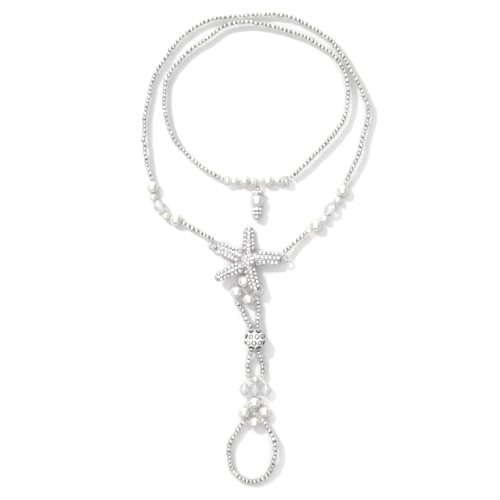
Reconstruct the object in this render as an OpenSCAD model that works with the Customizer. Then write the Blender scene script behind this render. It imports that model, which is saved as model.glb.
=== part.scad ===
// Barefoot sandal jewel, lying flat: ankle loops at +Y, toe ring at -Y, +Z up from the floor.
// All sizes are in millimetres.

/* [Strings] */
// Diameter of the seed beads on the ankle loops
seed_d = 2.4; // [2.2:0.1:2.4]
// Diameter of the seed beads on the strands and the toe ring
strand_seed_d = 2.6; // [2.4:0.1:2.6]
// Diameter of the clear elastic thread
thread_d = 0.5; // [0.4:0.05:0.5]
// Bore of the pearls and crystals
bore_d = 1; // [0.9:0.05:1.1]
// Height of the thread through the large beads
thread_z = 2.7; // [2.7:0.05:2.8]

/* [Pearls] */
// Large pearls of the side rows and the instep
pearl_d = 5.3; // [5.1:0.05:5.3]
// Small pearls of the side rows
pearl_small_d = 3.4; // [3.2:0.05:3.4]
// Pearls of the front row
front_pearl_d = 4.7; // [4.5:0.05:4.7]
// Pearls of the toe diamond
toe_pearl_d = 5.1; // [4.9:0.05:5.1]
// Pearl of the drop
drop_pearl_d = 5.8; // [5.6:0.05:5.8]

/* [Crystals] */
// Width of the side crystals
crystal_d = 5.4; // [5.2:0.05:5.4]
// Length of the side crystals along the thread
crystal_len = 5.9; // [5.7:0.05:5.9]
// Width of the crystals above the toe
toe_crystal_d = 4.4; // [4.2:0.05:4.4]
// Length of the crystals above the toe
toe_crystal_len = 4.8; // [4.6:0.05:4.8]

/* [Starfish] */
// Tilt of the starfish, top arm down, lower arms on the pearls
star_tilt = 12; // [11.5:0.1:12.5]
// Height of the cast body at the hub
star_h = 2.1; // [2.1:0.05:2.2]
// Diameter of its rhinestones
star_stone_d = 1.5; // [1.4:0.05:1.5]
// Wire of its soldered loops
loop_wire_d = 0.8; // [0.7:0.05:0.8]

/* [Ball] */
// Diameter of the clay ball between its stones
ball_d = 8.4; // [8.3:0.05:8.5]
// Diameter of its rhinestones
ball_stone_d = 1.9; // [1.8:0.05:1.9]

/* [Hidden] */
GAP = 0.12;
THREAD_GAP = 0.25;
SILVER = "silver";
STONE = [0.86, 0.88, 0.92];
GLASS = [0.90, 0.92, 0.92];
PEARL = [0.95, 0.93, 0.88];
CLAY = [0.96, 0.94, 0.88];

// Routes of the strings, a ring of the tube at each point
INNER_ROUTE = [
    [-14.05, 29.5, 2.6], [-20.5, 33, 2.6], [-26.6, 37.4, 2.6], [-31.7, 42.3, 2.9], [-35.9, 48.3, 3.2],
    [-38.2, 55, 3.2], [-39.4, 62, 3.3], [-38.7, 69, 2.8], [-36.5, 75.5, 2.6], [-31.8, 81.3, 2.5],
    [-26.6, 86.1, 2.8], [-20.3, 90.3, 3.1], [-14.5, 94.5, 3.4], [-7.5, 96.6, 3.8], [0, 96.2, 3.8],
    [7, 94.8, 3.6], [14, 92.8, 3.2], [21, 90.4, 3.4], [26.8, 86.8, 3.4], [33, 82.5, 3.4],
    [37, 77, 3.6], [39, 70, 4], [39, 62.5, 4.1], [37.5, 55.5, 3.8], [33.6, 49.4, 3.6],
    [28.7, 43.8, 3.5], [23.8, 38.8, 3.4], [18.7, 33.8, 3.2], [14.8, 30.3, 2.6]
];
OUTER_ROUTE = [
    [-44.8, 29.4, 2.6], [-46.7, 36.5, 3.6], [-47.7, 43.5, 4.2], [-47.8, 50.5, 3.4], [-47.6, 57.5, 3.1],
    [-46, 64.5, 2.8], [-44.5, 71.2, 2.6], [-41.4, 77.7, 2.6], [-37.3, 83.6, 2.5], [-32.7, 89.7, 2.6],
    [-27, 94.1, 2.6], [-20.7, 97.4, 2.8], [-13.5, 98.8, 3], [-6.5, 99.4, 3], [0.5, 99.8, 3],
    [7.5, 100, 3], [14.5, 99, 3.2], [20.8, 96, 3.2], [26.8, 92.5, 3.2], [32.4, 88.4, 3.2],
    [36.7, 82.7, 3.4], [40, 77, 3.6], [43, 71.5, 3.8], [45.5, 66, 3.9], [47.8, 60, 3.8],
    [47.3, 53.5, 3.2], [45.5, 47.1, 3.4], [43.7, 40, 3.7], [40.6, 33.6, 3.5], [38, 27.6, 2.6]
];
LEFT_LINK_ROUTE = [[-31.7, 11.3, 2.7], [-25.1, 7.3, 2.3], [-18.4, 3.95, 3.2]];
RIGHT_LINK_ROUTE = [[21.5, 6.95, 2.7], [16.6, 2.7, 2.9], [11.8, -1.7, 4.2]];
UPPER_LEFT_ROUTE = [[-8.5, -22.6, 2.6], [-6.3, -26.5, 2.3], [-4.2, -30.2, 3], [-2.35, -34, 4.3]];
UPPER_RIGHT_ROUTE = [[0.8, -22.3, 2.6], [1.1, -26, 2.2], [0.6, -30, 3], [0.5, -34, 4.3]];
LOWER_LEFT_ROUTE = [[-2.1, -43.7, 4.3], [-3.1, -47.3, 3], [-3.6, -51, 2.3], [-3.3, -55.2, 2.6]];
LOWER_RIGHT_ROUTE = [[0.8, -43.7, 4.3], [2, -47.3, 3], [2.8, -51, 2.3], [2.6, -55.2, 2.6]];
TOE_ROUTE = [
    [-4.95, -73.75, 2.6], [-8.9, -79, 2.4], [-11.5, -84.5, 2.4], [-11.5, -90, 2.3], [-10, -95, 1.8],
    [-6, -99, 1.4], [-0.5, -99.9, 1.3], [4.5, -97.3, 2], [7, -92.6, 3.2], [8, -87, 4.2],
    [7.5, -81.5, 4.2], [3.25, -74, 2.6]
];

// Side rows from the ankle string to the starfish link: place x, place y, length along the thread
LEFT_ROW = [
    [-44.5, 26.4, pearl_d], [-44.1, 21.9, pearl_small_d], [-41.3, 17.9, crystal_len],
    [-38.7, 13.8, pearl_small_d], [-34.4, 12.4, pearl_d]
];
RIGHT_ROW = [
    [36.8, 24.9, pearl_d], [34.8, 20.7, pearl_small_d], [31.7, 16.8, crystal_len],
    [29.1, 12.7, pearl_small_d], [25.4, 9.9, pearl_d], [22.4, 7.7, 1.6]
];

// Front row, left to right along X: length along the thread
FRONT_SIZES = [1.9, 3.7, front_pearl_d, 2.2, 1.1, 1.6, front_pearl_d, 3.1, 1.5, 1.5];
FRONT_START = -13.3;
FRONT_Y = 29;
FRONT_D = 4.6;
function sum_to(list, n) = n == 0 ? 0 : list[n - 1] + sum_to(list, n - 1);
function front_x(i) = FRONT_START + sum_to(FRONT_SIZES, i) + i * GAP + FRONT_SIZES[i] / 2;
RING_SLOT = 4;

// Drop below the front row
DROP_X = front_x(RING_SLOT);
DROP_Z = drop_pearl_d / 2 + 0.05;
DROP_WIRE = 0.5;
DROP_RING_R = 1.8;
DROP_RING_Y = FRONT_Y - 1.15;
DROP_EYE_R = 0.85;
DROP_EYE_Y = DROP_RING_Y - 1.98;
DROP_CAP_Y = 24.1;
DROP_CAP_H = 1.3;
DROP_SPACER_H = 1.5;
DROP_PEARL_Y = DROP_CAP_Y - DROP_CAP_H / 2 - GAP - drop_pearl_d / 2;
DROP_SPACER_Y = DROP_PEARL_Y - drop_pearl_d / 2 - GAP - DROP_SPACER_H / 2;
DROP_SPACER_STEP = DROP_SPACER_H + GAP;
DROP_END_H = 1.3;
DROP_END_Y = DROP_SPACER_Y - 1.5 * DROP_SPACER_H - 2 * GAP - DROP_END_H / 2;
DROP_SPACER_D = 5.2;
CUP_DEPTH = 0.45;
CUP_D = 3.6;
DROP_END_D = 3.8;

// Pearl diamonds: left, top, right, bottom
INSTEP = [[-8.7, -18.6], [-5.3, -14], [0.5, -17.6], [-3.3, -21.8]];
TOE = [[-5.3, -70.1], [-0.8, -66], [3.5, -69.9], [-0.8, -74.5]];
BALL_SEAT = 0.5;
BALL_SEAT_UP = 0.3;
BALL_AT = [-0.6, -38.8, ball_d / 2 + 0.35];
BALL_BORE_D = 1.9;
BALL_BEAD_AT = [-0.4, -55.9];
BALL_BEAD_D = 2.8;
TOE_CRYSTALS = [[-5.1, -60.4], [-0.5, -60.5], [4.1, -60.6]];
WIDE_BORE_D = 1.4;
PAIR_Z = 0.3;

// Starfish in its own plane: base x, base y, tip x, tip y, base width, tip width
STAR_AT = [-3.3, -5.2, 3.3];
ARMS = [
    [-0.1, 1.1, 0.2, 14.7, 5.8, 4.1],
    [0.6, 1, 14.1, 0.8, 6.6, 4.8],
    [-0.4, -0.7, 3.1, -13.7, 5.4, 4.3],
    [-0.7, -1.5, -14.2, -8, 5, 3.8],
    [-0.7, 0.5, -13.8, 6.3, 6.2, 4.8]
];
// Sections along an arm: share of its length, share of its width, share of its height
ARM_SECTIONS = [[0, 1, 1], [0.45, 1, 1], [0.86, 1, 1], [0.95, 0.8, 0.9], [1, 0.42, 0.62]];
ARM_TOP_SHARE = 0.4;
ARM_EDGE_H = 0.7;
ARM_TIP_H = 1.6;
STONE_START = 3.4;
STONE_END = 1.3;
STONE_PITCH = 1.72;
STONE_LIFT = 0.1;
HUB_R = 3.9;
HUB_TOP_R = 2.7;
HUB_RING_R = 1.75;
LOOP_R = 1.4;
LOOP_Z = 0.85;
LEFT_LOOP = [-15.35, 6.1];
RIGHT_LOOP = [15.2, 0.7];
BACK_LOOP_R = 1.5;
BACK_LOOP_AT = [-2, INSTEP[1][1], thread_z + 0.85];

// Small vector helpers
function unit(v) = v / norm(v);
function last(list) = list[len(list) - 1];
function turn_of(a, b) = atan2(b[1] - a[1], b[0] - a[0]);
function at_height(p, z) = [p[0], p[1], z];

// Tube swept along a route, one ring of corners at each point, a corner straight down
function tangent(route, i) = unit(route[min(i + 1, len(route) - 1)] - route[max(i - 1, 0)]);
function ring(route, i, d, sides, up) = let (
    t = tangent(route, i),
    side = unit(cross(t, up)),
    over = cross(side, t)
) [for (j = [0:sides - 1]) let (a = -90 + j * 360 / sides)
    route[i] + d / 2 * (cos(a) * side + sin(a) * over)];

module tube(route, d, sides = 8, up = [0, 0, 1]) {
    rings = len(route);
    points = [for (i = [0:rings - 1]) each ring(route, i, d, sides, up)];
    first_cap = [for (j = [sides - 1:-1:0]) j];
    last_cap = [for (j = [0:sides - 1]) (rings - 1) * sides + j];
    walls = [for (i = [0:rings - 2], j = [0:sides - 1])
        let (k = (j + 1) % sides, a = i * sides, b = a + sides)
        each [[a + j, b + k, b + j], [a + j, a + k, b + k]]];
    polyhedron(points, concat([first_cap, last_cap], walls));
}

module thread(route, up = [0, 0, 1]) tube(route, thread_d, 6, up);

// Bead placing: the local Z axis lies level along the thread
module along(at, turn) translate(at) rotate([0, 90, turn]) children();
module bore(d = bore_d) cylinder(d = d, h = 20, center = true, $fn = 32);

module pearl(at, turn, d, hole = bore_d) along(at, turn) difference() {
    sphere(d = d, $fn = 64);
    bore(hole);
}

// Cut bead: rings of eight corners, each ring turned half a facet from the last
function cut_ring(r, z, shift, sides) = [for (j = [0:sides - 1])
    let (a = (j + shift) * 360 / sides) [r * cos(a), r * sin(a), z]];
module stack(rings, sides) {
    count = len(rings);
    points = [for (i = [0:count - 1]) each cut_ring(rings[i][0], rings[i][1], rings[i][2], sides)];
    bottom = [for (j = [0:sides - 1]) j];
    top = [for (j = [sides - 1:-1:0]) (count - 1) * sides + j];
    walls = [for (i = [0:count - 2], j = [0:sides - 1])
        let (
            k = (j + 1) % sides,
            a = i * sides,
            b = (i + 1) * sides,
            ahead = rings[i + 1][2] > rings[i][2]
        )
        each ahead ? [[a + j, b + j, a + k], [a + k, b + j, b + k]]
                   : [[a + j, b + k, a + k], [a + j, b + j, b + k]]];
    polyhedron(points, concat([bottom, top], walls));
}

module crystal(at, turn, d, length, hole = bore_d) along(at, turn) difference() {
    r = d / 2;
    half = length / 2;
    stack([
        [r * 0.42, -half, 0], [r * 0.84, -half * 0.52, 0.5], [r, 0, 0],
        [r * 0.84, half * 0.52, 0.5], [r * 0.42, half, 0]
    ], 8);
    bore(hole);
}

module rondelle(at, turn, d, length) along(at, turn) difference() {
    stack([
        [d * 0.33, -length / 2, 0], [d * 0.5, -length * 0.16, 0], [d * 0.5, length * 0.16, 0],
        [d * 0.33, length / 2, 0]
    ], 12);
    bore();
}

// Flat-backed cut stone on its base at z = 0: girdle, eight crown facets and a table
module stone(d) stack([
    [d * 0.42, 0, 0], [d * 0.5, d * 0.14, 0], [d * 0.5, d * 0.2, 0], [d * 0.3, d * 0.44, 0]
], 8);

// Strings of seed beads
module inner_ankle_string() color(GLASS) tube(INNER_ROUTE, seed_d);
module outer_ankle_string() color(GLASS) tube(OUTER_ROUTE, seed_d);
module left_link_string() color(GLASS) tube(LEFT_LINK_ROUTE, seed_d);
module right_link_string() color(GLASS) tube(RIGHT_LINK_ROUTE, seed_d);
module upper_left_strand() color(GLASS) tube(UPPER_LEFT_ROUTE, strand_seed_d);
module upper_right_strand() color(GLASS) tube(UPPER_RIGHT_ROUTE, strand_seed_d);
module lower_left_strand() color(GLASS) tube(LOWER_LEFT_ROUTE, strand_seed_d);
module lower_right_strand() color(GLASS) tube(LOWER_RIGHT_ROUTE, strand_seed_d);
module toe_ring_string() color(GLASS) tube(TOE_ROUTE, strand_seed_d);

// Point just outside a tube's end face, on its axis
function off_end(route) = last(route) + unit(last(route) - route[len(route) - 2]) * THREAD_GAP;
function off_start(route) = route[0] + unit(route[0] - route[1]) * THREAD_GAP;

// Level direction of the thread at a bead of a row, from the bead before it to the bead after
function row_turn(row, i) = turn_of(row[max(i - 1, 0)], row[min(i + 1, len(row) - 1)]);
function row_at(row, i) = [row[i][0], row[i][1], thread_z];
function row_dir(row, i) = let (a = row_turn(row, i)) [cos(a), sin(a), 0];
function row_points(row) = [for (i = [0:len(row) - 1])
    each [for (s = [-1, 1]) row_at(row, i) + row_dir(row, i) * s * row[i][2] / 2]];

// Thread tied round the wire of a soldered loop, at an angle from the loop's +X side
LOOP_TIE_R = loop_wire_d / 2 + GAP + thread_d / 2;
LEFT_TIE_TURN = 135;
RIGHT_TIE_TURN = 115;
module loop_tie(loop, turn) star_place() translate([loop[0], loop[1], LOOP_Z]) rotate(turn)
    translate([LOOP_R, 0, 0]) rotate([90, 0, 0]) wire_ring(LOOP_TIE_R, thread_d);

module left_thread() color(GLASS) {
    thread(concat([off_start(OUTER_ROUTE)], row_points(LEFT_ROW), [off_start(LEFT_LINK_ROUTE)]));
    loop_tie(LEFT_LOOP, LEFT_TIE_TURN);
}
module right_thread() color(GLASS) {
    thread(concat([off_end(OUTER_ROUTE)], row_points(RIGHT_ROW), [off_start(RIGHT_LINK_ROUTE)]));
    loop_tie(RIGHT_LOOP, RIGHT_TIE_TURN);
}
module front_thread() color(GLASS) thread([
    off_start(INNER_ROUTE), [FRONT_START, FRONT_Y, thread_z],
    [front_x(9) + FRONT_SIZES[9] / 2, FRONT_Y, thread_z], off_end(INNER_ROUTE)
]);

// Thread up through one pearl, across the next and down through the third
function arch(d, feet, heads, top, z) = [
    at_height(feet[0], z), at_height(heads[0] + [0, -d / 2], z), at_height(heads[0] + [0, d / 2], z),
    at_height(top + [-d / 2 - 0.3, 0], z), at_height(top + [d / 2 + 0.3, 0], z),
    at_height(heads[1] + [0, d / 2], z), at_height(heads[1] + [0, -d / 2], z), at_height(feet[1], z)
];
module instep_thread() color(GLASS) {
    z = thread_z;
    thread(arch(pearl_d, [off_start(UPPER_LEFT_ROUTE), off_start(UPPER_RIGHT_ROUTE)],
        [INSTEP[0], INSTEP[2]], INSTEP[1], z));
    low = INSTEP[3];
    thread([
        at_height(INSTEP[0] + [0.1, -pearl_d / 2 - 0.4], z), at_height(low + [-pearl_d / 2 - 0.2, 0], z),
        at_height(low + [pearl_d / 2 + 0.2, 0], z), at_height(INSTEP[2] + [0, -pearl_d / 2 - 0.5], z)
    ]);
    for (pair = [[UPPER_LEFT_ROUTE, LOWER_LEFT_ROUTE, -1], [UPPER_RIGHT_ROUTE, LOWER_RIGHT_ROUTE, 1]]) {
        x = BALL_AT[0] + pair[2] * 0.45;
        thread([
            off_end(pair[0]), [x, BALL_AT[1] + ball_d / 2, BALL_AT[2]],
            [x, BALL_AT[1] - ball_d / 2, BALL_AT[2]], off_start(pair[1])
        ]);
    }
}
module toe_thread() color(GLASS) {
    z = thread_z;
    half = toe_crystal_len / 2;
    foot = [off_end(LOWER_LEFT_ROUTE), off_end(LOWER_RIGHT_ROUTE)];
    top = TOE[1];
    left = TOE_CRYSTALS[0];
    middle = TOE_CRYSTALS[1];
    right = TOE_CRYSTALS[2];
    // Down the left crystal, across the top pearl and up the right crystal
    thread([
        at_height(foot[0], z), at_height(left + [0, half], z), at_height(left + [0, -half], z),
        at_height(top + [-toe_pearl_d / 2, 0], z + PAIR_Z),
        at_height(top + [toe_pearl_d / 2, 0], z + PAIR_Z),
        at_height(right + [0, -half], z), at_height(right + [0, half], z), at_height(foot[1], z)
    ]);
    // Across the small bead between the strands
    thread([
        at_height(foot[0] + [-0.2, -0.6], z), at_height(BALL_BEAD_AT + [-BALL_BEAD_D / 2, 0], z),
        at_height(BALL_BEAD_AT + [BALL_BEAD_D / 2, 0], z), at_height(foot[1] + [0.2, -0.6], z)
    ]);
    // Through the middle crystal, from the left corner to the right one
    thread([
        at_height(left + [0.3, half + 0.6], z), at_height(middle + [-0.5, half + 0.42], z),
        at_height(middle + [0, half + 0.12], z), at_height(middle + [0, -half - 0.05], z),
        at_height(middle + [0.5, -half - 0.3], z), at_height(right + [-0.3, -half - 0.7], z)
    ]);
    // Through the toe diamond, string end to string end
    thread(arch(toe_pearl_d, [off_start(TOE_ROUTE), off_end(TOE_ROUTE)],
        [TOE[0], TOE[2]], top, z - PAIR_Z));
    thread([
        at_height(TOE[0] + [0.35, -toe_pearl_d / 2 - 0.45], z), at_height(TOE[3] + [-toe_pearl_d / 2, 0], z),
        at_height(TOE[3] + [toe_pearl_d / 2, 0], z), at_height(TOE[2] + [0, -toe_pearl_d / 2 - 0.45], z)
    ]);
}

// Front row
module front_pearl(i) pearl([front_x(i), FRONT_Y, thread_z], 0, FRONT_SIZES[i]);
module front_rondelle(i) rondelle([front_x(i), FRONT_Y, thread_z], 0, FRONT_D, FRONT_SIZES[i]);
module front_bead(i) rondelle([front_x(i), FRONT_Y, thread_z], 0, seed_d, FRONT_SIZES[i]);
module front_rondelle_left() color(STONE) front_rondelle(0);
module front_pearl_small_left() color(PEARL) front_pearl(1);
module front_pearl_left() color(PEARL) front_pearl(2);
module front_bead_left() color(GLASS) front_bead(3);
module front_bead_right() color(GLASS) front_bead(5);
module front_pearl_right() color(PEARL) front_pearl(6);
module front_pearl_small_right() color(PEARL) front_pearl(7);
module front_rondelle_mid() color(STONE) front_rondelle(8);
module front_rondelle_right() color(STONE) front_rondelle(9);

// Drop
module wire_ring(r, wire) rotate_extrude($fn = 48) translate([r, 0]) circle(d = wire, $fn = 24);
module drop_ring() color(SILVER) translate([DROP_X, DROP_RING_Y, thread_z]) rotate([0, 90, 0])
    wire_ring(DROP_RING_R, DROP_WIRE);
module drop_pin() color(SILVER) union() {
    translate([DROP_X, DROP_EYE_Y, DROP_Z]) wire_ring(DROP_EYE_R, DROP_WIRE);
    foot = DROP_END_Y - DROP_END_H / 2 - GAP;
    translate([DROP_X, DROP_EYE_Y - DROP_EYE_R, DROP_Z]) rotate([90, 0, 0])
        cylinder(d = DROP_WIRE, h = DROP_EYE_Y - DROP_EYE_R - foot, $fn = 24);
    translate([DROP_X, foot, DROP_Z]) rotate([90, 0, 0]) cylinder(d = 1.6, h = 0.4, $fn = 24);
}
// Daisy spacer: a disc with a bead in each scallop of its rim
module daisy(h, d, beads) {
    ball = h * 0.9;
    cylinder(d = d - ball, h = h * 0.7, center = true, $fn = 48);
    for (j = [0:beads - 1]) rotate(j * 360 / beads) translate([(d - ball) / 2, 0, 0])
        sphere(d = ball, $fn = 24);
}
// Daisy with a cup that holds an end of the pearl, the pearl on its +Z side
module cup_daisy(h) difference() {
    union() {
        daisy(h, DROP_SPACER_D, 9);
        cylinder(d1 = CUP_D * 0.8, d2 = CUP_D, h = h / 2 + CUP_DEPTH, $fn = 48);
    }
    translate([0, 0, h / 2 + GAP + drop_pearl_d / 2]) sphere(d = drop_pearl_d + 2 * GAP, $fn = 64);
    bore();
}
// Place on the pin, the local Z axis level along it
module on_pin(y, turn) translate([DROP_X, y, DROP_Z]) rotate([turn, 0, 0]) children();
module drop_cap() color(SILVER) on_pin(DROP_CAP_Y, 90) cup_daisy(DROP_CAP_H);
module drop_pearl() color(PEARL) pearl([DROP_X, DROP_PEARL_Y, DROP_Z], 90, drop_pearl_d);
module drop_spacer_upper() color(SILVER) on_pin(DROP_SPACER_Y, -90) cup_daisy(DROP_SPACER_H);
module drop_spacer_lower() color(SILVER) on_pin(DROP_SPACER_Y - DROP_SPACER_STEP, 90) difference() {
    daisy(DROP_SPACER_H, DROP_SPACER_D - 0.3, 9);
    bore();
}
module drop_end_bead() color(SILVER) on_pin(DROP_END_Y, 90) difference() {
    cylinder(d1 = DROP_END_D, d2 = DROP_END_D * 0.85, h = DROP_END_H, center = true, $fn = 48);
    bore();
}

// Side rows
module row_pearl(row, i) pearl(row_at(row, i), row_turn(row, i), row[i][2]);
module row_crystal(row, i) crystal(row_at(row, i), row_turn(row, i), crystal_d, row[i][2]);
module left_pearl_outer() color(PEARL) row_pearl(LEFT_ROW, 0);
module left_pearl_small_outer() color(PEARL) row_pearl(LEFT_ROW, 1);
module left_crystal() color(GLASS) row_crystal(LEFT_ROW, 2);
module left_pearl_small_inner() color(PEARL) row_pearl(LEFT_ROW, 3);
module left_pearl_inner() color(PEARL) row_pearl(LEFT_ROW, 4);
module right_pearl_outer() color(PEARL) row_pearl(RIGHT_ROW, 0);
module right_pearl_small_outer() color(PEARL) row_pearl(RIGHT_ROW, 1);
module right_crystal() color(GLASS) row_crystal(RIGHT_ROW, 2);
module right_pearl_small_inner() color(PEARL) row_pearl(RIGHT_ROW, 3);
module right_pearl_inner() color(PEARL) row_pearl(RIGHT_ROW, 4);
module right_rondelle() color(PEARL)
    rondelle(row_at(RIGHT_ROW, 5), row_turn(RIGHT_ROW, 5), 3.2, RIGHT_ROW[5][2]);

// Starfish, tilted with its top arm down
function star_point(p) = STAR_AT + [
    p[0], p[1] * cos(star_tilt) + p[2] * sin(star_tilt), p[2] * cos(star_tilt) - p[1] * sin(star_tilt)
];
module star_place() translate(STAR_AT) rotate([-star_tilt, 0, 0]) children();
function arm_len(arm) = norm([arm[2] - arm[0], arm[3] - arm[1]]);
function arm_turn(arm) = turn_of([arm[0], arm[1]], [arm[2], arm[3]]);
function arm_half(arm, s) = let (f = s / arm_len(arm)) (arm[4] + (arm[5] - arm[4]) * f) / 2;
function arm_height(arm, s) = star_h + (ARM_TIP_H - star_h) * s / arm_len(arm) - 0.1;

// Arm with six-cornered sections: flat top for one row of stones and a slope for each side row
module star_arm(arm) translate([arm[0], arm[1], 0]) rotate(arm_turn(arm)) {
    count = len(ARM_SECTIONS);
    points = [for (sec = ARM_SECTIONS)
        let (
            s = sec[0] * arm_len(arm),
            w = arm_half(arm, s) * sec[1],
            h = arm_height(arm, s) * sec[2],
            t = w * ARM_TOP_SHARE
        )
        each [[s, -w, 0], [s, -w, ARM_EDGE_H], [s, -t, h], [s, t, h], [s, w, ARM_EDGE_H], [s, w, 0]]];
    first_cap = [for (j = [5:-1:0]) j];
    last_cap = [for (j = [0:5]) (count - 1) * 6 + j];
    walls = [for (i = [0:count - 2], j = [0:5]) let (k = (j + 1) % 6, a = i * 6, b = a + 6)
        each [[a + j, b + k, b + j], [a + j, a + k, b + k]]];
    polyhedron(points, concat([first_cap, last_cap], walls));
}
module star_hub() {
    cylinder(r = HUB_R, h = ARM_EDGE_H, $fn = 10);
    translate([0, 0, ARM_EDGE_H]) cylinder(r1 = HUB_R, r2 = HUB_TOP_R, h = star_h - ARM_EDGE_H, $fn = 10);
}
module starfish() color(SILVER) union() {
    star_place() {
        for (arm = ARMS) star_arm(arm);
        star_hub();
        for (at = [LEFT_LOOP, RIGHT_LOOP]) translate([at[0], at[1], LOOP_Z])
            wire_ring(LOOP_R, loop_wire_d);
    }
    translate(BACK_LOOP_AT) rotate([0, 90, 0]) wire_ring(BACK_LOOP_R, 0.6);
}

function stone_steps(arm) = round((arm_len(arm) - STONE_START - STONE_END) / STONE_PITCH);
module arm_stones(arm) translate([arm[0], arm[1], 0]) rotate(arm_turn(arm)) {
    steps = stone_steps(arm);
    pitch = (arm_len(arm) - STONE_START - STONE_END) / steps;
    for (k = [0:steps]) {
        s = STONE_START + k * pitch;
        translate([s, 0, arm_height(arm, s) + STONE_LIFT]) stone(star_stone_d);
    }
    for (k = [0:steps - 1], side = [-1, 1]) {
        s = STONE_START + (k + 0.5) * pitch;
        w = arm_half(arm, s);
        t = w * ARM_TOP_SHARE;
        h = arm_height(arm, s);
        slope = atan2(h - ARM_EDGE_H, w - t);
        translate([s, side * (w + t) / 2, (h + ARM_EDGE_H) / 2]) rotate([-side * slope, 0, 0])
            translate([0, 0, STONE_LIFT]) stone(star_stone_d);
    }
}
module starfish_stones() color(STONE) star_place() {
    for (arm = ARMS) arm_stones(arm);
    translate([0, 0, star_h + STONE_LIFT]) {
        stone(star_stone_d);
        for (j = [0:5]) rotate(j * 60 + 18) translate([HUB_RING_R, 0, 0]) stone(star_stone_d);
    }
}

// Pearl diamond under the starfish
module instep_pearl(i, turn) pearl(at_height(INSTEP[i], thread_z), turn, pearl_d);
module instep_pearl_left() color(PEARL) instep_pearl(0, 90);
module instep_pearl_top() color(PEARL) instep_pearl(1, 0);
module instep_pearl_right() color(PEARL) instep_pearl(2, 90);
module instep_pearl_bottom() color(PEARL) instep_pearl(3, 0);

// Ball paved with stones in rows round its bore: angle from the equator, stones in the row, first turn
BALL_ROWS = [[-56, 5, 57], [-19, 9, 37], [19, 9, 16], [56, 5, 51]];
module ball_places() translate(BALL_AT) rotate([90, 0, 0])
    for (row = BALL_ROWS, j = [0:row[1] - 1])
        rotate(row[2] + j * 360 / row[1]) rotate([0, 90 - row[0], 0])
            translate([0, 0, ball_d / 2]) children();
module crystal_ball() color(CLAY) difference() {
    translate(BALL_AT) sphere(d = ball_d, $fn = 64);
    translate(BALL_AT) rotate([90, 0, 0]) bore(BALL_BORE_D);
    ball_places() translate([0, 0, BALL_SEAT_UP]) sphere(d = ball_stone_d * 1.27, $fn = 32);
}
module ball_stones() color(STONE) ball_places() translate([0, 0, -BALL_SEAT]) stone(ball_stone_d);
module ball_bead() color(PEARL) pearl(at_height(BALL_BEAD_AT, thread_z), 0, BALL_BEAD_D);

// Clear crystals and pearl diamond above the toe ring
module toe_crystal(i) crystal(at_height(TOE_CRYSTALS[i], thread_z), 90, toe_crystal_d, toe_crystal_len);
module crystal_left() color(GLASS) toe_crystal(0);
module crystal_middle() color(GLASS) toe_crystal(1);
module crystal_right() color(GLASS) toe_crystal(2);
module toe_pearl(i, turn, hole = bore_d) pearl(at_height(TOE[i], thread_z), turn, toe_pearl_d, hole);
module toe_pearl_left() color(PEARL) toe_pearl(0, 90, WIDE_BORE_D);
module toe_pearl_top() color(PEARL) toe_pearl(1, 0, WIDE_BORE_D);
module toe_pearl_right() color(PEARL) toe_pearl(2, 90, WIDE_BORE_D);
module toe_pearl_bottom() color(PEARL) toe_pearl(3, 0);

inner_ankle_string();
outer_ankle_string();
left_link_string();
right_link_string();
upper_left_strand();
upper_right_strand();
lower_left_strand();
lower_right_strand();
toe_ring_string();
front_thread();
left_thread();
right_thread();
instep_thread();
toe_thread();
front_rondelle_left();
front_pearl_small_left();
front_pearl_left();
front_bead_left();
front_bead_right();
front_pearl_right();
front_pearl_small_right();
front_rondelle_mid();
front_rondelle_right();
drop_ring();
drop_pin();
drop_cap();
drop_pearl();
drop_spacer_upper();
drop_spacer_lower();
drop_end_bead();
left_pearl_outer();
left_pearl_small_outer();
left_crystal();
left_pearl_small_inner();
left_pearl_inner();
right_pearl_outer();
right_pearl_small_outer();
right_crystal();
right_pearl_small_inner();
right_pearl_inner();
right_rondelle();
starfish();
starfish_stones();
instep_pearl_left();
instep_pearl_top();
instep_pearl_right();
instep_pearl_bottom();
crystal_ball();
ball_stones();
ball_bead();
crystal_left();
crystal_middle();
crystal_right();
toe_pearl_left();
toe_pearl_top();
toe_pearl_right();
toe_pearl_bottom();
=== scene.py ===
"""Looks of the barefoot sandal jewel. Lengths in the tables are in millimetres."""
import math
import random

import bpy
from mathutils import Matrix, Vector


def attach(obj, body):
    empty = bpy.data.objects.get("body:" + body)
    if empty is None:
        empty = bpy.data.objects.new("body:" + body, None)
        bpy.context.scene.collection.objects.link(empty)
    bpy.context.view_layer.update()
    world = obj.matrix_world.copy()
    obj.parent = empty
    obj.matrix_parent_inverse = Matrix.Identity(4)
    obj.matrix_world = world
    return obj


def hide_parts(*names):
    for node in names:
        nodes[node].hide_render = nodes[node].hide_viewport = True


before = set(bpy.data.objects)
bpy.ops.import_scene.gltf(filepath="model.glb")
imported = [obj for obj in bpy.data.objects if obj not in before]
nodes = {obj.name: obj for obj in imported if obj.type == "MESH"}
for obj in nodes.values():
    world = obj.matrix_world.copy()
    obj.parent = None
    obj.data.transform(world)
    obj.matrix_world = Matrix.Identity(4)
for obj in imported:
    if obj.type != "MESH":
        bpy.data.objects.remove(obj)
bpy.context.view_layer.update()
MM = 0.001

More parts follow.
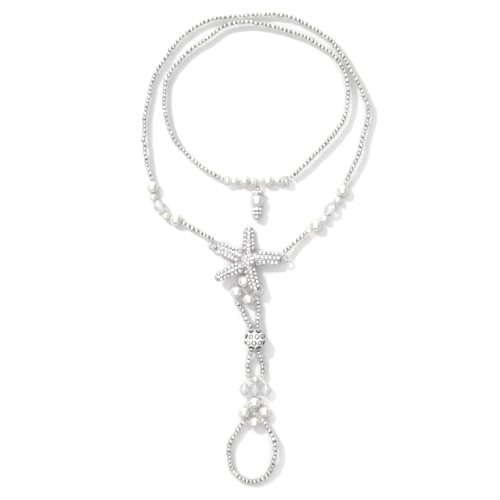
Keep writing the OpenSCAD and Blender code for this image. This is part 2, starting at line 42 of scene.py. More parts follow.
# Routes of the strings, as in the part's source
INNER_ROUTE = [
    (-14.05, 29.5, 2.6), (-20.5, 33, 2.6), (-26.6, 37.4, 2.6), (-31.7, 42.3, 2.9), (-35.9, 48.3, 3.2),
    (-38.2, 55, 3.2), (-39.4, 62, 3.3), (-38.7, 69, 2.8), (-36.5, 75.5, 2.6), (-31.8, 81.3, 2.5),
    (-26.6, 86.1, 2.8), (-20.3, 90.3, 3.1), (-14.5, 94.5, 3.4), (-7.5, 96.6, 3.8), (0, 96.2, 3.8),
    (7, 94.8, 3.6), (14, 92.8, 3.2), (21, 90.4, 3.4), (26.8, 86.8, 3.4), (33, 82.5, 3.4),
    (37, 77, 3.6), (39, 70, 4), (39, 62.5, 4.1), (37.5, 55.5, 3.8), (33.6, 49.4, 3.6),
    (28.7, 43.8, 3.5), (23.8, 38.8, 3.4), (18.7, 33.8, 3.2), (14.8, 30.3, 2.6),
]
OUTER_ROUTE = [
    (-44.8, 29.4, 2.6), (-46.7, 36.5, 3.6), (-47.7, 43.5, 4.2), (-47.8, 50.5, 3.4), (-47.6, 57.5, 3.1),
    (-46, 64.5, 2.8), (-44.5, 71.2, 2.6), (-41.4, 77.7, 2.6), (-37.3, 83.6, 2.5), (-32.7, 89.7, 2.6),
    (-27, 94.1, 2.6), (-20.7, 97.4, 2.8), (-13.5, 98.8, 3), (-6.5, 99.4, 3), (0.5, 99.8, 3),
    (7.5, 100, 3), (14.5, 99, 3.2), (20.8, 96, 3.2), (26.8, 92.5, 3.2), (32.4, 88.4, 3.2),
    (36.7, 82.7, 3.4), (40, 77, 3.6), (43, 71.5, 3.8), (45.5, 66, 3.9), (47.8, 60, 3.8),
    (47.3, 53.5, 3.2), (45.5, 47.1, 3.4), (43.7, 40, 3.7), (40.6, 33.6, 3.5), (38, 27.6, 2.6),
]
LEFT_LINK_ROUTE = [(-31.7, 11.3, 2.7), (-25.1, 7.3, 2.3), (-18.4, 3.95, 3.2)]
RIGHT_LINK_ROUTE = [(21.5, 6.95, 2.7), (16.6, 2.7, 2.9), (11.8, -1.7, 4.2)]
UPPER_LEFT_ROUTE = [(-8.5, -22.6, 2.6), (-6.3, -26.5, 2.3), (-4.2, -30.2, 3), (-2.35, -34, 4.3)]
UPPER_RIGHT_ROUTE = [(0.8, -22.3, 2.6), (1.1, -26, 2.2), (0.6, -30, 3), (0.5, -34, 4.3)]
LOWER_LEFT_ROUTE = [(-2.1, -43.7, 4.3), (-3.1, -47.3, 3), (-3.6, -51, 2.3), (-3.3, -55.2, 2.6)]
LOWER_RIGHT_ROUTE = [(0.8, -43.7, 4.3), (2, -47.3, 3), (2.8, -51, 2.3), (2.6, -55.2, 2.6)]
TOE_ROUTE = [
    (-4.95, -73.75, 2.6), (-8.9, -79, 2.4), (-11.5, -84.5, 2.4), (-11.5, -90, 2.3), (-10, -95, 1.8),
    (-6, -99, 1.4), (-0.5, -99.9, 1.3), (4.5, -97.3, 2), (7, -92.6, 3.2), (8, -87, 4.2),
    (7.5, -81.5, 4.2), (3.25, -74, 2.6),
]

# Starfish and ball, as in the part's source
STAR_AT = Vector((-3.3, -5.2, 3.3))
STAR_TILT = math.radians(12)
STAR_H = 2.1
ARMS = [
    (-0.1, 1.1, 0.2, 14.7, 5.8, 4.1),
    (0.6, 1, 14.1, 0.8, 6.6, 4.8),
    (-0.4, -0.7, 3.1, -13.7, 5.4, 4.3),
    (-0.7, -1.5, -14.2, -8, 5, 3.8),
    (-0.7, 0.5, -13.8, 6.3, 6.2, 4.8),
]
ARM_TOP_SHARE = 0.4
ARM_EDGE_H = 0.7
ARM_TIP_H = 1.6
STONE_D = 1.5
STONE_START = 3.4
STONE_END = 1.3
STONE_PITCH = 1.72
STONE_LIFT = 0.1
HUB_RING_R = 1.75
LOOPS = [(-15.35, 6.1), (15.2, 0.7)]
LOOP_OUT_R = 1.85
BALL_D = 8.4
BALL_STONE_D = 1.9
BALL_SEAT = 0.5
BALL_AT = Vector((-0.6, -38.8, BALL_D / 2 + 0.35))
BALL_ROWS = [(-56, 5, 57), (-19, 9, 37), (19, 9, 16), (56, 5, 51)]


# Materials
NOISE_LOW, NOISE_HIGH = 0.32, 0.68
BUMP_DEPTH = 0.00005


def variation_group():
    """Slow and fine noise in the piece's own space, remapped between two values."""
    g = bpy.data.node_groups.new("fine_variation", "ShaderNodeTree")
    for name, value in (("Scale", 400.0), ("Low", 0.0), ("High", 1.0)):
        g.interface.new_socket(name, in_out="INPUT", socket_type="NodeSocketFloat").default_value = value
    g.interface.new_socket("Value", in_out="OUTPUT", socket_type="NodeSocketFloat")
    n, link = g.nodes, g.links.new
    start, end = n.new("NodeGroupInput"), n.new("NodeGroupOutput")
    place, noise = n.new("ShaderNodeTexCoord"), n.new("ShaderNodeTexNoise")
    remap = n.new("ShaderNodeMapRange")
    noise.inputs["Detail"].default_value = 3
    remap.inputs["From Min"].default_value = NOISE_LOW
    remap.inputs["From Max"].default_value = NOISE_HIGH
    link(place.outputs["Object"], noise.inputs["Vector"])
    link(start.outputs["Scale"], noise.inputs["Scale"])
    link(noise.outputs["Fac"], remap.inputs["Value"])
    link(start.outputs["Low"], remap.inputs["To Min"])
    link(start.outputs["High"], remap.inputs["To Max"])
    link(remap.outputs["Result"], end.inputs["Value"])
    return g


VARIATION = variation_group()


def vary(tree, scale, low, high):
    node = tree.nodes.new("ShaderNodeGroup")
    node.node_tree = VARIATION
    for name, value in (("Scale", scale), ("Low", low), ("High", high)):
        node.inputs[name].default_value = value
    return node.outputs["Value"]


def mix_colour(tree, factor, a, b):
    mix = tree.nodes.new("ShaderNodeMix")
    mix.data_type = "RGBA"
    mix.inputs[6].default_value = (*a, 1)
    mix.inputs[7].default_value = (*b, 1)
    tree.links.new(factor, mix.inputs[0])
    return mix.outputs[2]


def material(name, dark, light, scale, rough, bump=0.0, bump_scale=900.0, shadow=None, facet=False,
             **values):
    """Principled material: two colours mixed by noise or by facet, varied roughness, fine bump.

    With a shadow colour, the piece is clear to shadow rays and tints them.
    """
    mat = bpy.data.materials.new(name)
    mat.use_nodes = True
    tree = mat.node_tree
    shader = tree.nodes["Principled BSDF"]
    for key, value in values.items():
        shader.inputs[key.replace("_", " ")].default_value = value
    if facet:
        attribute = tree.nodes.new("ShaderNodeAttribute")
        attribute.attribute_name = "facet"
        factor = attribute.outputs["Fac"]
    else:
        factor = vary(tree, scale, 0.0, 1.0)
    tree.links.new(mix_colour(tree, factor, dark, light), shader.inputs["Base Color"])
    tree.links.new(vary(tree, scale * 2.3, *rough), shader.inputs["Roughness"])
    if bump:
        node = tree.nodes.new("ShaderNodeBump")
        node.inputs["Strength"].default_value = bump
        node.inputs["Distance"].default_value = BUMP_DEPTH
        tree.links.new(vary(tree, bump_scale, 0.0, 1.0), node.inputs["Height"])
        tree.links.new(node.outputs["Normal"], shader.inputs["Normal"])
    if shadow:
        path, clear = tree.nodes.new("ShaderNodeLightPath"), tree.nodes.new("ShaderNodeBsdfTransparent")
        mix = tree.nodes.new("ShaderNodeMixShader")
        clear.inputs["Color"].default_value = (*shadow, 1)
        tree.links.new(path.outputs["Is Shadow Ray"], mix.inputs["Fac"])
        tree.links.new(shader.outputs["BSDF"], mix.inputs[1])
        tree.links.new(clear.outputs["BSDF"], mix.inputs[2])
        tree.links.new(mix.outputs["Shader"], tree.nodes["Material Output"].inputs["Surface"])
    return mat


# The beads' base colour runs from dark at their ends and mouths to white round their middles: painted
# shade between neighbouring beads
SEED = material("seed_bead_glass", (0.74, 0.74, 0.72), (1.0, 1.0, 0.98), 520, (0.03, 0.10), bump=0.2,
                bump_scale=1500, shadow=(0.04, 0.04, 0.045), facet=True, Metallic=0.45,
                Transmission_Weight=0.9, IOR=1.5)
LINING = material("silver_lining", (0.30, 0.30, 0.29), (0.80, 0.80, 0.78), 1100, (0.1, 0.3),
                  Metallic=1.0)
CRYSTAL = material("crystal_glass", (0.95, 0.955, 0.97), (1.0, 1.0, 1.0), 300, (0.0, 0.03),
                   shadow=(0.18, 0.18, 0.19), Transmission_Weight=0.75, IOR=1.44)
OLIVE = material("olive_glass", (0.88, 0.87, 0.80), (0.96, 0.95, 0.90), 500, (0.03, 0.1),
                 shadow=(0.7, 0.7, 0.62), Transmission_Weight=0.7, IOR=1.48)
PEARL = material("imitation_pearl", (0.78, 0.77, 0.735), (0.87, 0.86, 0.83), 260, (0.10, 0.18), bump=0.1,
                 bump_scale=2600, Metallic=0.6, Coat_Weight=0.5, Coat_Roughness=0.05, IOR=1.6)
SILVER = material("silver_plate", (0.72, 0.72, 0.72), (0.95, 0.95, 0.94), 700, (0.08, 0.24), bump=0.3,
                  bump_scale=1600, Metallic=1.0)
DROP_SILVER = material("soft_silver", (0.53, 0.535, 0.525), (0.80, 0.80, 0.79), 1300, (0.24, 0.36),
                       bump=0.2, bump_scale=1600, Metallic=0.3)
END_SILVER = material("grey_silver", (0.44, 0.44, 0.44), (0.66, 0.66, 0.66), 1300, (0.34, 0.46),
                      bump=0.2, bump_scale=1600, Metallic=0.35)
LOOP = material("loop_silver", (0.24, 0.24, 0.25), (0.62, 0.62, 0.62), 1300, (0.15, 0.3), Metallic=0.85)
CUP = material("silver_cups", (0.40, 0.38, 0.40), (0.92, 0.92, 0.92), 1500, (0.12, 0.3), Metallic=1.0)
BED = material("dark_bed", (0.04, 0.038, 0.04), (0.85, 0.84, 0.85), 2000, (0.2, 0.4), Metallic=0.7)
# Cut stones: each facet is mixed between a dark and a white colour at random, as painted glints and
# reflections
RHINESTONE = material("rhinestone", (0.42, 0.40, 0.42), (1.0, 0.99, 0.98), 600, (0.02, 0.06), facet=True,
                      Metallic=0.75, Coat_Weight=1.0, Coat_Roughness=0.02)
# Near-black of the gap between each ball stone and the clay: painted shade
BALL_GAP_SHADE = material("painted_gap_shade", (0.012, 0.012, 0.013), (0.05, 0.05, 0.052), 1500, (0.25, 0.4))
CLAY = material("white_clay", (0.88, 0.855, 0.79), (0.96, 0.94, 0.88), 900, (0.45, 0.65), bump=0.5,
                bump_scale=3000)
THREAD = material("clear_elastic", (0.85, 0.86, 0.88), (0.98, 0.98, 0.98), 700, (0.08, 0.2),
                  shadow=(0.6, 0.6, 0.62), Transmission_Weight=0.6, IOR=1.45)


def paint(names, mat):
    for name in names:
        mesh = nodes[name].data
        mesh.materials.clear()
        mesh.materials.append(mat)


# Meshes
def smooth_route(route, steps=24):
    """Points of a Catmull-Rom curve through the route, in millimetres."""
    pts = [Vector(p) for p in route]
    pts = [pts[0] * 2 - pts[1]] + pts + [pts[-1] * 2 - pts[-2]]
    out = []
    for a, b, c, d in zip(pts, pts[1:], pts[2:], pts[3:]):
        for k in range(steps):
            t = k / steps
            out.append(0.5 * (2 * b + (c - a) * t + (2 * a - 5 * b + 4 * c - d) * t * t
                              + (3 * b - a - 3 * c + d) * t ** 3))
    return out + [pts[-2]]


def spots(route, pitch, rng):
    """Bead places on the smooth route: point, direction and bead length, uneven as the beads are."""
    pts = smooth_route(route)
    lengths = [0.0]
    for a, b in zip(pts, pts[1:]):
        lengths.append(lengths[-1] + (b - a).length)
    shares = [rng.uniform(0.82, 1.18) for _ in range(round(lengths[-1] / pitch))]
    out, i, s = [], 0, 0.0
    for share in shares:
        step = share * lengths[-1] / sum(shares)
        middle = s + step / 2
        s += step
        while lengths[i + 1] < middle:
            i += 1
        f = (middle - lengths[i]) / (lengths[i + 1] - lengths[i])
        out.append((pts[i].lerp(pts[i + 1], f), (pts[i + 1] - pts[i]).normalized(), step))
    return out


def lathe(profile, sides):
    """Closed profile of radius and height turned about Z."""
    verts = [(r * math.cos(2 * math.pi * j / sides), r * math.sin(2 * math.pi * j / sides), z)
             for r, z in profile for j in range(sides)]
    n = len(profile)
    faces = [(i * sides + j, i * sides + (j + 1) % sides,
              (i + 1) % n * sides + (j + 1) % sides, (i + 1) % n * sides + j)
             for i in range(n) for j in range(sides)]
    return verts, faces


class Builder:
    """Gathers copies of small shapes into one mesh."""

    def __init__(self):
        self.verts, self.faces, self.slots, self.smooth, self.facets = [], [], [], [], []

    def add(self, shape, place, slot=0, smooth=True, tone=None):
        start = len(self.verts)
        verts, faces = shape
        self.verts += [place @ Vector(v) for v in verts]
        self.faces += [tuple(start + i for i in f) for f in faces]
        slots = slot if isinstance(slot, list) else [slot] * len(faces)
        self.slots += slots
        self.smooth += [smooth] * len(faces)
        self.facets += tone if isinstance(tone, list) else [tone() if tone else 1.0 for _ in faces]

    def build(self, name, mats, slot, replaces=()):
        mesh = bpy.data.meshes.new(name)
        mesh.from_pydata([v * MM for v in self.verts], [], self.faces)
        for mat in mats:
            mesh.materials.append(mat)
        mesh.polygons.foreach_set("material_index", self.slots)
        mesh.polygons.foreach_set("use_smooth", self.smooth)
        mesh.attributes.new("facet", "FLOAT", "FACE").data.foreach_set("value", self.facets)
        mesh.update()
        obj = bpy.data.objects.new(name, mesh)
        bpy.context.scene.collection.objects.link(obj)
        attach(obj, "root")
        if replaces:
            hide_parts(*replaces)


def frame_at(at, direction, roll=0.0):
    """Matrix that puts a shape's Z axis along a direction."""
    turned = direction.to_track_quat("Z", "Y").to_matrix().to_4x4()
    return Matrix.Translation(at) @ turned @ Matrix.Rotation(roll, 4, "Z")


# Rounded bead: share of the radius at a share of the half length, and how light the glass is painted
# there; the ends are painted darker, as shade between neighbouring beads
SEED_PROFILE = [
    (0.62, 0.96, 0.0), (0.77, 0.82, 0.0), (0.90, 0.56, 0.45), (0.975, 0.28, 1.0), (1.0, 0.0, 1.0),
]
SEED_BORE = 0.34
SEED_BORE_FLARE = 0.03
SEED_SIDES = 16
LINING_R = 0.31
LINING_WALL = 0.08

# How the beads of a string differ: pitch, size, tilt in radians, and place to the side
SEED_PITCH = 1.85
SEED_SIZE = (0.86, 1.0)
SEED_CLOUD = (0.5, 1.0)
SEED_FILL = 0.97
TILT_SPREAD = 0.16
SIDE_SPREAD, SIDE_MOST, SIDE_WILD = 0.1, 0.2, 0.45
END_CALM = 0.2
FLOOR_GAP = 0.005


def seed_shape(d, length):
    r, h = d / 2, length / 2
    rings = [(r * share, -h * up) for share, up, _ in SEED_PROFILE]
    rings += [(x, -z) for x, z in reversed(rings[:-1])]
    mouth = SEED_BORE + SEED_BORE_FLARE
    bore = [(mouth, h * 0.84), (SEED_BORE, h * 0.4), (SEED_BORE, -h * 0.4)]
    return lathe([(mouth, -h * 0.84)] + rings + bore, SEED_SIDES)


def seed_end_shade():
    # Tones by face: dark at the mouths, in the bore and towards the ends as painted shade between beads,
    # white round the middle
    bands = [tone for _, _, tone in SEED_PROFILE]
    bands = [0.0] + bands[1:] + list(reversed(bands[1:])) + [0.0] * 4
    return [tone for tone in bands for _ in range(SEED_SIDES)]


def lining_shape(length):
    h = length / 2 * 0.8
    inner = LINING_R - LINING_WALL
    return lathe([(inner, -h), (LINING_R, -h), (LINING_R, h), (inner, h)], 12)


def bead_string(name, route, d, node, seed, wild):
    """String of silver-lined seed beads, each a little off in size, tilt and place."""
    rng = random.Random(seed)
    out, end_shade_tones = Builder(), seed_end_shade()
    places = spots(route, SEED_PITCH, rng)
    for k, (at, direction, step) in enumerate(places):
        # The thread runs into the first and the last bead, so these two sit nearly straight
        calm = END_CALM if k in (0, len(places) - 1) else 1.0
        size = rng.uniform(*SEED_SIZE)
        tilt = (Matrix.Rotation(calm * rng.gauss(0, TILT_SPREAD), 4, "X")
                @ Matrix.Rotation(calm * rng.gauss(0, TILT_SPREAD), 4, "Y"))
        side = Vector((-direction.y, direction.x, 0)).normalized()
        if k in wild:
            side *= SIDE_WILD
        else:
            side *= calm * max(-SIDE_MOST, min(SIDE_MOST, rng.gauss(0, SIDE_SPREAD)))
        length = step * SEED_FILL
        place = (frame_at(at + side, direction, rng.uniform(0, 6.28)) @ tilt
                 @ Matrix.Diagonal((size, size, 1, 1)))
        bead = seed_shape(d, length)
        low = min((place @ Vector(v)).z for v in bead[0])
        lift = Matrix.Translation((0, 0, max(0.0, FLOOR_GAP - low)))
        cloud = rng.uniform(*SEED_CLOUD)
        out.add(bead, lift @ place, tone=[cloud * tone for tone in end_shade_tones])
        out.add(lining_shape(length), lift @ place, slot=1)
    out.build(name, [SEED, LINING], "seed_glass", [node])


def brilliant(d, sides=16):
    """Flat-backed cut stone: girdle, upper girdle facets, kites, star facets and a table."""
    half = sides // 2

    def circle(r, z, count, turn=0.0):
        angles = [2 * math.pi * (k + turn) / count for k in range(count)]
        return [(r * d * math.cos(a), r * d * math.sin(a), z * d) for a in angles]

    verts = circle(0.42, 0, sides) + circle(0.5, 0.14, sides) + circle(0.5, 0.2, sides)
    mid, table = 3 * sides, 3 * sides + half
    verts += circle(0.41, 0.335, half, 0.5) + circle(0.28, 0.44, half)
    faces = [tuple(reversed(range(sides)))]
    for ring in (0, 1):
        a, b = ring * sides, (ring + 1) * sides
        faces += [(a + k, a + (k + 1) % sides, b + (k + 1) % sides, b + k) for k in range(sides)]
    top = 2 * sides
    for k in range(half):
        faces.append((top + 2 * k, top + 2 * k + 1, mid + k))
        faces.append((top + 2 * k + 1, top + (2 * k + 2) % sides, mid + k))
        faces.append((table + k, mid + (k - 1) % half, top + 2 * k, mid + k))
        faces.append((table + k, mid + k, table + (k + 1) % half))
    faces.append(tuple(range(table, table + half)))
    return verts, faces


# Strings of seed beads: name, route, bead size, CAD node, seed, and the beads that stand out sideways
STRINGS = [
    ("inner_ankle_beads", INNER_ROUTE, 2.4, "inner_ankle_string", 11, (28, 29)),
    ("outer_ankle_beads", OUTER_ROUTE, 2.4, "outer_ankle_string", 12, (9, 31)),
    ("left_link_beads", LEFT_LINK_ROUTE, 2.4, "left_link_string", 13, ()),
    ("right_link_beads", RIGHT_LINK_ROUTE, 2.4, "right_link_string", 14, ()),
    ("upper_left_beads", UPPER_LEFT_ROUTE, 2.6, "upper_left_strand", 15, (2,)),
    ("upper_right_beads", UPPER_RIGHT_ROUTE, 2.6, "upper_right_strand", 16, ()),
    ("lower_left_beads", LOWER_LEFT_ROUTE, 2.6, "lower_left_strand", 17, ()),
    ("lower_right_beads", LOWER_RIGHT_ROUTE, 2.6, "lower_right_strand", 18, ()),
    ("toe_ring_beads", TOE_ROUTE, 2.6, "toe_ring_string", 19, (3,)),
]
for string in STRINGS:
    bead_string(*string)


# Starfish: stones, their cups and the small beads of metal between them
STAR = Matrix.Translation(STAR_AT) @ Matrix.Rotation(-STAR_TILT, 4, "X")


def arm_base(arm):
    """Matrix of an arm: its start at the origin, and X along it."""
    turn = math.atan2(arm[3] - arm[1], arm[2] - arm[0])
    return STAR @ Matrix.Translation((arm[0], arm[1], 0)) @ Matrix.Rotation(turn, 4, "Z")


def arm_length(arm):
    return math.hypot(arm[2] - arm[0], arm[3] - arm[1])


def arm_half(arm, s):
    return (arm[4] + (arm[5] - arm[4]) * s / arm_length(arm)) / 2


def arm_height(arm, s):
    return STAR_H + (ARM_TIP_H - STAR_H) * s / arm_length(arm) - 0.1


def star_stone_places():
    """Matrices of the starfish's stones, in the same places as the CAD stones."""
    out = []
    raised = Matrix.Translation((0, 0, STONE_LIFT))
    for arm in ARMS:
        base = arm_base(arm)
        steps = round((arm_length(arm) - STONE_START - STONE_END) / STONE_PITCH)
        pitch = (arm_length(arm) - STONE_START - STONE_END) / steps
        for k in range(steps + 1):
            s = STONE_START + k * pitch
            out.append(base @ Matrix.Translation((s, 0, arm_height(arm, s) + STONE_LIFT)))
        for k in range(steps):
            for side in (-1, 1):
                s = STONE_START + (k + 0.5) * pitch
                w, h = arm_half(arm, s), arm_height(arm, s)
                t = w * ARM_TOP_SHARE
                slope = math.atan2(h - ARM_EDGE_H, w - t)
                out.append(base @ Matrix.Translation((s, side * (w + t) / 2, (h + ARM_EDGE_H) / 2))
                           @ Matrix.Rotation(-side * slope, 4, "X") @ raised)
    hub = STAR @ Matrix.Translation((0, 0, STAR_H + STONE_LIFT))
    out.append(hub)
    for j in range(6):
        turned = hub @ Matrix.Rotation(math.radians(j * 60 + 18), 4, "Z")
        out.append(turned @ Matrix.Translation((HUB_RING_R, 0, 0)))
    return out


def small_ball(r):
    """Round bead of metal."""
    verts, faces = [(0, 0, -r)], []
    for i in range(1, 5):
        a = -math.pi / 2 + math.pi * i / 5
        round_it = [2 * math.pi * j / 8 for j in range(8)]
        verts += [(r * math.cos(a) * math.cos(b), r * math.cos(a) * math.sin(b), r * math.sin(a))
                  for b in round_it]
    verts.append((0, 0, r))
    faces += [(0, 1 + (j + 1) % 8, 1 + j) for j in range(8)]
    for i in range(3):
        a = 1 + i * 8
        faces += [(a + j, a + (j + 1) % 8, a + 8 + (j + 1) % 8, a + 8 + j) for j in range(8)]
    faces += [(33, 25 + j, 25 + (j + 1) % 8) for j in range(8)]
    return verts, faces


rng = random.Random(7)
# Random brightness of each facet of the starfish's stones: painted glints and reflections
STONE_GLINT_TONES = (0.1, 0.5, 0.9, 1.0, 1.0, 1.0)
CUP_SHAPE = lathe([(0.765, -0.06), (0.85, -0.06), (0.85, 0.22), (0.81, 0.3), (0.765, 0.27)], 20)
CLAW_SHAPE = small_ball(0.17)
CLAW_OUT, CLAW_UP = 0.79, 0.3
stones, cups = Builder(), Builder()
for place in star_stone_places():
    turned = place @ Matrix.Rotation(rng.uniform(0, 0.78), 4, "Z")
    stones.add(brilliant(STONE_D), turned, smooth=False, tone=lambda: rng.choice(STONE_GLINT_TONES))
    cups.add(CUP_SHAPE, place)
    for q in range(4):
        a = math.pi / 4 + q * math.pi / 2
        at = (CLAW_OUT * math.cos(a), CLAW_OUT * math.sin(a), CLAW_UP)
        cups.add(CLAW_SHAPE, place @ Matrix.Translation(at))
# Grains of metal on each arm near the hub: distance out, distance to the side, radius
GRAINS = ((2.5, 0.0, 0.3), (2.8, 0.95, 0.34), (2.8, -0.95, 0.34), (3.3, 1.9, 0.32), (3.3, -1.9, 0.32))
GRAIN_SLOPE, GRAIN_UP = 0.7, 0.1
for arm in ARMS:
    base = arm_base(arm)
    for s, side, r in GRAINS:
        drop = max(0.0, abs(side) - arm_half(arm, s) * ARM_TOP_SHARE) * GRAIN_SLOPE
        at = (s, side, arm_height(arm, s) - drop + GRAIN_UP)
        cups.add(small_ball(r), base @ Matrix.Translation(at))
stones.build("starfish_cut_stones", [RHINESTONE], "rhinestone", ["starfish_stones"])
cups.build("starfish_stone_cups", [CUP], "silver")

# Ball: round stones, each in a black ring; the ring and the stones' edge facets are painted shade of the
# gap between stone and clay, and stones facing sideways are painted shaded on all but their tables
BALL_SHADE_RING = lathe([(0.955, 0.25), (1.15, 0.25), (1.17, 0.4), (1.06, 0.46), (0.955, 0.44)], 20)
BALL_SHADE_UP = 0.5
BALL_GLINT_LEVELS = (0.15, 0.6, 0.9, 1.0)
BALL_GLINT_TONES = (0.5, 0.9, 1.0, 1.0)
ball_stones = Builder()
ball_shape = brilliant(BALL_STONE_D)
# A cut stone's first points are its three girdle rings, and the facets next to them take the painted gap
# shade
GIRDLE = 48
rim_shade = [1 if max(f) < GIRDLE or (len(f) == 3 and sum(i < GIRDLE for i in f) == 2) else 0
       for f in ball_shape[1]]
# Stones facing sideways on the ball are painted shaded on every facet but the table
dark = [1] * (len(rim_shade) - 1) + [0]
axis = Matrix.Translation(BALL_AT) @ Matrix.Rotation(math.pi / 2, 4, "X")
for row, count, first in BALL_ROWS:
    for j in range(count):
        turn = math.radians(first + j * 360 / count)
        place = (axis @ Matrix.Rotation(turn, 4, "Z") @ Matrix.Rotation(math.radians(90 - row), 4, "Y")
                 @ Matrix.Translation((0, 0, BALL_D / 2 - BALL_SEAT)))
        # Each ball stone's brightness, and each facet's, is drawn at random: painted glints and
        # reflections
        bright = rng.choice(BALL_GLINT_LEVELS)
        slots = dark if place.col[2].z < BALL_SHADE_UP else rim_shade
        ball_stones.add(ball_shape, place, slot=slots, smooth=False,
                        tone=lambda: bright * rng.choice(BALL_GLINT_TONES))
        ball_stones.add(BALL_SHADE_RING, place, slot=1)
ball_stones.build("ball_cut_stones", [RHINESTONE, BALL_GAP_SHADE], "rhinestone", ["ball_stones"])

# Tiny seeds among the toe pearls, beside the thread and not strung on it: place, size
CORNER_SEEDS = [
    (-3.3, -72.4, 2.6, 1.25), (1.5, -72.3, 2.6, 1.25), (-3.2, -67.9, 2.6, 1.2), (0.6, -68.75, 2.9, 1.0),
    (0.6, -70.5, 1.5, 1.1), (-2.1, -69.6, 1.2, 1.5), (-0.6, -69.2, 1.9, 1.4), (-0.7, -71, 1.3, 1.5),
]
TOE_MIDDLE = (-0.8, -70.1)
CORNER_BORE = 0.3
corners = Builder()
for x, y, z, d in CORNER_SEEDS:
    toward = Vector((x - TOE_MIDDLE[0], y - TOE_MIDDLE[1], 0)).normalized()
    profile = [(CORNER_BORE, -d * 0.36), (d * 0.4, -d * 0.34), (d / 2, -d * 0.14),
               (d / 2, d * 0.14), (d * 0.4, d * 0.34), (CORNER_BORE, d * 0.36)]
    corners.add(lathe(profile, 14), frame_at(Vector((x, y, z)), Vector((-toward.y, toward.x, 0))))
corners.build("toe_corner_seeds", [OLIVE], "seed_glass")

# CAD nodes that stay get their materials
paint([n for n in nodes if n.endswith("_thread")], THREAD)
paint([n for n in nodes if "pearl" in n or n == "ball_bead"], PEARL)
paint(["left_crystal", "right_crystal", "crystal_left", "crystal_middle", "crystal_right",
       "front_rondelle_left", "front_rondelle_mid", "front_rondelle_right"], CRYSTAL)
paint(["front_bead_left", "front_bead_right", "right_rondelle"], OLIVE)
paint(["crystal_ball"], CLAY)
paint(["starfish"], SILVER)
paint(["drop_ring", "drop_pin"], LOOP)
paint(["drop_end_bead"], END_SILVER)
paint(["drop_cap", "drop_spacer_upper", "drop_spacer_lower"], DROP_SILVER)

# The casting is dark between the stones, greyer on its loops, and bright on its walls and tips
BED_SLOT, LOOP_SLOT = 1, 2
BED_FACING, BED_FROM, BED_SHARE = 0.6, 0.4, 0.93
BACK_LOOP_BELOW = -0.2
casting = nodes["starfish"]
casting.data.materials.append(BED)
casting.data.materials.append(LOOP)
to_star = STAR.inverted()
for polygon in casting.data.polygons:
    at = to_star @ (casting.matrix_world @ polygon.center / MM)
    up = (to_star.to_3x3() @ (casting.matrix_world.to_3x3() @ polygon.normal)).normalized()
    if any((at.xy - Vector(loop)).length < LOOP_OUT_R for loop in LOOPS) or at.z < BACK_LOOP_BELOW:
        polygon.material_index = LOOP_SLOT
    for arm in ARMS:
        along = Vector((arm[2] - arm[0], arm[3] - arm[1], 0)).normalized()
        s = (at - Vector((arm[0], arm[1], 0))).dot(along)
        side = (at - Vector((arm[0], arm[1], 0))).cross(along).z
        on_arm = 0 < s < arm_length(arm) * BED_SHARE and abs(side) < arm_half(arm, s)
        if up.z > BED_FACING and at.z > BED_FROM and on_arm:
            polygon.material_index = BED_SLOT
for name in nodes:
    if "pearl" in name or name in ("ball_bead", "crystal_ball", "drop_ring", "drop_pin"):
        for polygon in nodes[name].data.polygons:
            polygon.use_smooth = True


# Floor, light and camera
BOX_MIDDLE = 0.08
BOX_INNER, BOX_OUTER = 0.28, 0.74
BOX_FRONT_END, BOX_FRONT_FULL = -0.85, -0.5
BOX_LIGHT, ROOM_LIGHT = 1.82, 0.4
WAVE_SCALE = 2.2
WAVE_VALUES = (0.4, 0.6, 0.86, 1.1)
FLOOR_HALF = 2
FLOOR_BOUNCE = (0.58, 0.58, 0.57)
KEY_AT = (-0.72, 0.7, 1.0)
KEY_DISTANCE, KEY_SIZE = 0.8, 0.022
KEY_POWER = 3.6
KEY_COLOUR = (1.0, 0.99, 0.96)
CAMERA_AT = (-2.7 * MM, -0.65 * MM, 0.6)
CAMERA_LENS, CAMERA_SENSOR, CAMERA_NEAR = 100.5, 36, 0.01


def floor():
    mesh = bpy.data.meshes.new("floor")
    corners_at = [(x * FLOOR_HALF, y * FLOOR_HALF, 0) for x, y in ((-1, -1), (1, -1), (1, 1), (-1, 1))]
    mesh.from_pydata(corners_at, [], [(0, 1, 2, 3)])
    obj = bpy.data.objects.new("floor", mesh)
    bpy.context.scene.collection.objects.link(obj)
    paper = material("paper_floor", (0.705, 0.705, 0.715), (0.72, 0.72, 0.73), 6, (0.7, 0.85))
    mesh.materials.append(paper)
    # The paper shows white, and shows darker in the reflections of the pieces
    tree = paper.node_tree
    kinds = ("LightPath", "BsdfDiffuse", "MixShader")
    path, dim, mix = (tree.nodes.new("ShaderNode" + kind) for kind in kinds)
    dim.inputs["Color"].default_value = (*FLOOR_BOUNCE, 1)
    tree.links.new(path.outputs["Is Glossy Ray"], mix.inputs["Fac"])
    tree.links.new(tree.nodes["Principled BSDF"].outputs["BSDF"], mix.inputs[1])
    tree.links.new(dim.outputs["BSDF"], mix.inputs[2])
    tree.links.new(mix.outputs["Shader"], tree.nodes["Material Output"].inputs["Surface"])


def area_light(name, direction, distance, size, power, colour):
    light = bpy.data.lights.new(name, "AREA")
    light.size, light.energy, light.color = size, power, colour
    obj = bpy.data.objects.new(name, light)
    at = Vector(direction).normalized()
    obj.location = at * distance
    obj.rotation_euler = at.to_track_quat("Z", "Y").to_euler()
    bpy.context.scene.collection.objects.link(obj)


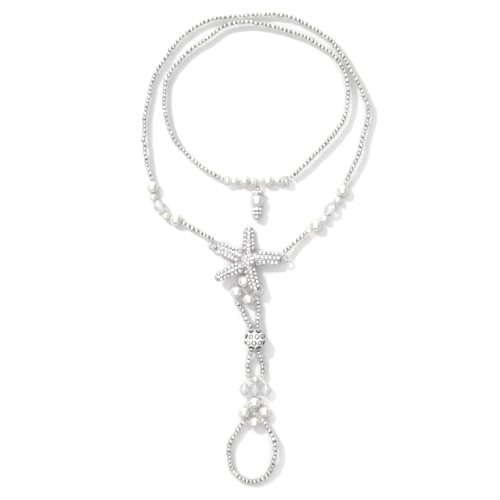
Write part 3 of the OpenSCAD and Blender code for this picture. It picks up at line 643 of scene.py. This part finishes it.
def studio():
    """Bright soft box overhead, long from front to back, in a room that is dim at its left and right."""
    world = bpy.data.worlds.new("studio")
    bpy.context.scene.world = world
    world.use_nodes = True
    n, link = world.node_tree.nodes, world.node_tree.links.new
    place, split = n.new("ShaderNodeTexCoord"), n.new("ShaderNodeSeparateXYZ")
    wave = n.new("ShaderNodeTexNoise")
    shift, away, both, total = (n.new("ShaderNodeMath") for _ in range(4))
    box, front, level, bands = (n.new("ShaderNodeMapRange") for _ in range(4))
    link(place.outputs["Generated"], split.inputs[0])
    shift.operation, away.operation = "ADD", "ABSOLUTE"
    both.operation = total.operation = "MULTIPLY"
    shift.inputs[1].default_value = BOX_MIDDLE
    link(split.outputs["X"], shift.inputs[0])
    link(shift.outputs[0], away.inputs[0])
    box.interpolation_type = front.interpolation_type = "SMOOTHSTEP"
    for node, values in ((box, (BOX_INNER, BOX_OUTER, 1, 0)),
                         (front, (BOX_FRONT_END, BOX_FRONT_FULL, 0, 1)),
                         (level, (0, 1, ROOM_LIGHT, BOX_LIGHT)), (bands, WAVE_VALUES)):
        for name, value in zip(("From Min", "From Max", "To Min", "To Max"), values):
            node.inputs[name].default_value = value
    link(away.outputs[0], box.inputs["Value"])
    link(split.outputs["Y"], front.inputs["Value"])
    link(box.outputs["Result"], both.inputs[0])
    link(front.outputs["Result"], both.inputs[1])
    link(both.outputs[0], level.inputs["Value"])
    wave.inputs["Scale"].default_value = WAVE_SCALE
    wave.inputs["Detail"].default_value = 0
    link(place.outputs["Generated"], wave.inputs["Vector"])
    link(wave.outputs["Fac"], bands.inputs["Value"])
    link(level.outputs["Result"], total.inputs[0])
    link(bands.outputs["Result"], total.inputs[1])
    link(total.outputs[0], n["Background"].inputs["Color"])


floor()
studio()
area_light("key", KEY_AT, KEY_DISTANCE, KEY_SIZE, KEY_POWER, KEY_COLOUR)

camera = bpy.data.objects.new("camera", bpy.data.cameras.new("camera"))
camera.data.sensor_width = CAMERA_SENSOR
camera.data.lens = CAMERA_LENS
camera.data.clip_start = CAMERA_NEAR
camera.location = CAMERA_AT
bpy.context.scene.collection.objects.link(camera)
bpy.context.scene.camera = camera
bpy.context.scene.view_settings.view_transform = "Standard"
